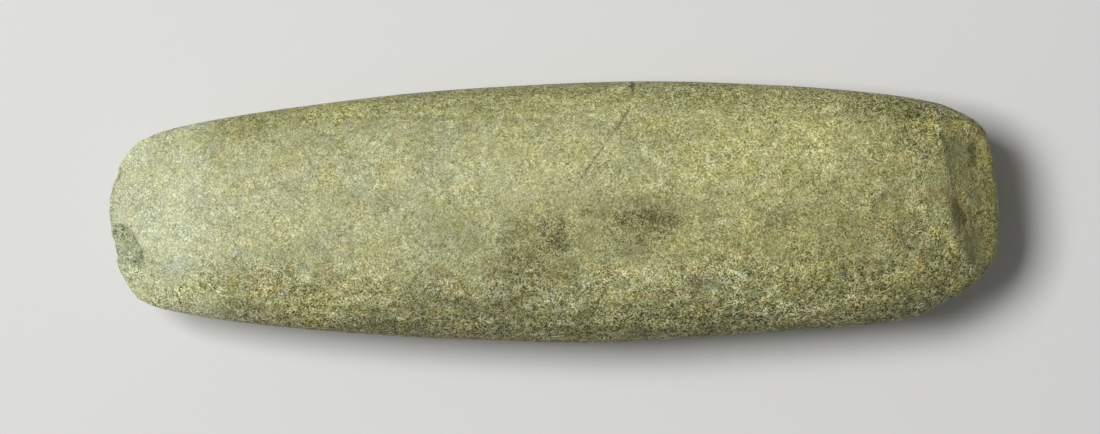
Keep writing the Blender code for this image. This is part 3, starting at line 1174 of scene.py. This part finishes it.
def toned(g, color, grain):
    """The colour made lighter and darker by its grain and its mottling.

    Dark grains are more olive than light ones, and some places are redder or bluer than others.
    """
    fine, broad = grain_tone(g, grain), mottled_tone(g)
    varied = g.stretch(g.mask("pecked"), 0.0, 1.0, 1.0, 1.5)
    varied = g.math("MULTIPLY", varied, g.stretch(g.zone("end"), 0.0, 1.0, 1.0, 0.6))
    varied = g.math("MULTIPLY", varied, g.stretch(g.mask("along"), 0.82, 0.92, 1.0, 0.6))
    redder = g.total((g.noise(0.9, 3, 0.6, 131), 0.11), (g.noise(3.6, 2, 0.5, 149), 0.09))
    bluer = g.total((g.noise(1.1, 3, 0.6, 167), 0.08), (g.noise(4.2, 2, 0.5, 179), 0.08))
    bluer = g.math("MULTIPLY", bluer, g.stretch(g.mask("along"), 0.45, 0.75, 1.0, 1.4))
    green = g.math("ADD", fine, broad)
    olive = g.stretch(g.mask("polished"), 0.0, 1.0, GRAIN_OLIVE, MOTTLED_OLIVE)
    blue = g.math("ADD", g.math("MULTIPLY", fine, olive), g.math("MULTIPLY", broad, MOTTLED_OLIVE))
    darkest = g.math("MINIMUM", g.math("ADD", fine, DARKEST), 0.0)
    more_olive = g.stretch(g.mask("along"), 0.40, 0.70, 0.0, DARK_OLIVE)
    blue = g.math("ADD", blue, g.math("MULTIPLY", darkest, more_olive))
    tones = (
        g.math("ADD", green, g.math("MULTIPLY", redder, varied)),
        green,
        g.math("ADD", blue, g.math("MULTIPLY", bluer, varied)),
    )
    return g.vector("MULTIPLY", color, g.triple(*(g.math("EXPONENT", tone) for tone in tones)))


def glints_of(g):
    """1 on the few thin crystals that shine, in clusters."""
    strokes = g.noise(0.36, 1, 0.5, 63, g.needles(0.8))
    clusters = g.stretch(g.noise(2.6, 2, 0.6, 37), 0.42, 0.60)
    glint = g.math("MULTIPLY", g.stretch(strokes, 0.66, 0.74), clusters)
    return g.math("MULTIPLY", glint, g.stretch(g.mask("pecked"), 0.0, 0.6, 0.30, 0.85))


def stone_material():
    material = bpy.data.materials.new("stone")
    material.use_nodes = True
    g = Graph(material)
    grain = grain_of(g)
    glints = glints_of(g)
    color = toned(g, stained(g, patched(g, zoned_colour(g))), grain)
    # Darker in the dents, the deeper the darker.
    color = g.tinted(color, g.stretch(g.mask("hollow"), 0.25, 1.0, 0.0, 0.50), DENT_DARKER)
    color = g.tinted(color, g.math("MULTIPLY", g.mask("beside_crack"), 0.60), BLUER)
    color = g.tinted(color, g.stretch(g.mask("crack"), 0.02, 0.80), CRACKED)
    # Painted glints: the shining crystals are mixed towards a near white.
    color = g.mix(glints, color, GLINT)
    g.put(g.shader.inputs["Base Color"], color)
    dull = g.stretch(g.mask("polished"), 0.0, 1.0, 0.62, 0.42)
    dull = g.math("ADD", dull, g.math("MULTIPLY", g.mask("pecked"), 0.14))
    dull = g.math("SUBTRACT", dull, g.math("MULTIPLY", glints, 0.30), clamp=True)
    g.put(g.shader.inputs["Roughness"], dull)
    depth = g.stretch(g.mask("pecked"), 0.0, 1.0, 0.40, 1.0)
    depth = g.math("MULTIPLY", depth, g.stretch(g.mask("polished"), 0.0, 1.0, 1.0, 0.5))
    g.put(g.shader.inputs["Normal"], g.bump(g.math("MULTIPLY", grain, depth), 0.25 * MM))
    g.shader.inputs["Specular IOR Level"].default_value = 0.45
    return material


def floor_material():
    material = bpy.data.materials.new("floor")
    material.use_nodes = True
    g = Graph(material)
    g.put(g.shader.inputs["Base Color"], FLOOR)
    g.shader.inputs["Roughness"].default_value = 0.9
    return material


def make_floor():
    mesh = bpy.data.meshes.new("floor")
    turns = ((-1, -1), (1, -1), (1, 1), (-1, 1))
    corners = [(x * FLOOR_HALF, y * FLOOR_HALF, FLOOR_LEVEL) for x, y in turns]
    mesh.from_pydata(corners, [], [(0, 1, 2, 3)])
    mesh.materials.append(floor_material())
    floor = bpy.data.objects.new("floor", mesh)
    bpy.context.scene.collection.objects.link(floor)
    return floor


def add_key_light():
    """A soft square light above and to the left that faces the stone."""
    data = bpy.data.lights.new("key_light", "AREA")
    data.size = KEY_SIZE
    data.energy = KEY_WATTS
    light = bpy.data.objects.new("key_light", data)
    way = Vector(KEY_FROM).normalized()
    light.location = way * KEY_DISTANCE
    light.rotation_mode = "QUATERNION"
    light.rotation_quaternion = way.to_track_quat("Z", "Y")
    light.visible_camera = False
    bpy.context.scene.collection.objects.link(light)


def make_light():
    """One big soft light and a weak white room."""
    add_key_light()
    world = bpy.data.worlds.new("room")
    world.use_nodes = True
    background = world.node_tree.nodes["Background"]
    background.inputs["Color"].default_value = (1.0, 1.0, 1.0, 1.0)
    background.inputs["Strength"].default_value = ROOM_LIGHT
    bpy.context.scene.world = world
    bpy.context.scene.view_settings.view_transform = "Standard"


CAMERA = make_camera()
SOLID = BVHTree.FromObject(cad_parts[NODE], bpy.context.evaluated_depsgraph_get())

stone = make_stone()
stone.data.materials.clear()
stone.data.materials.append(stone_material())
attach(stone, "root")
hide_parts(NODE)
make_floor()
make_light()
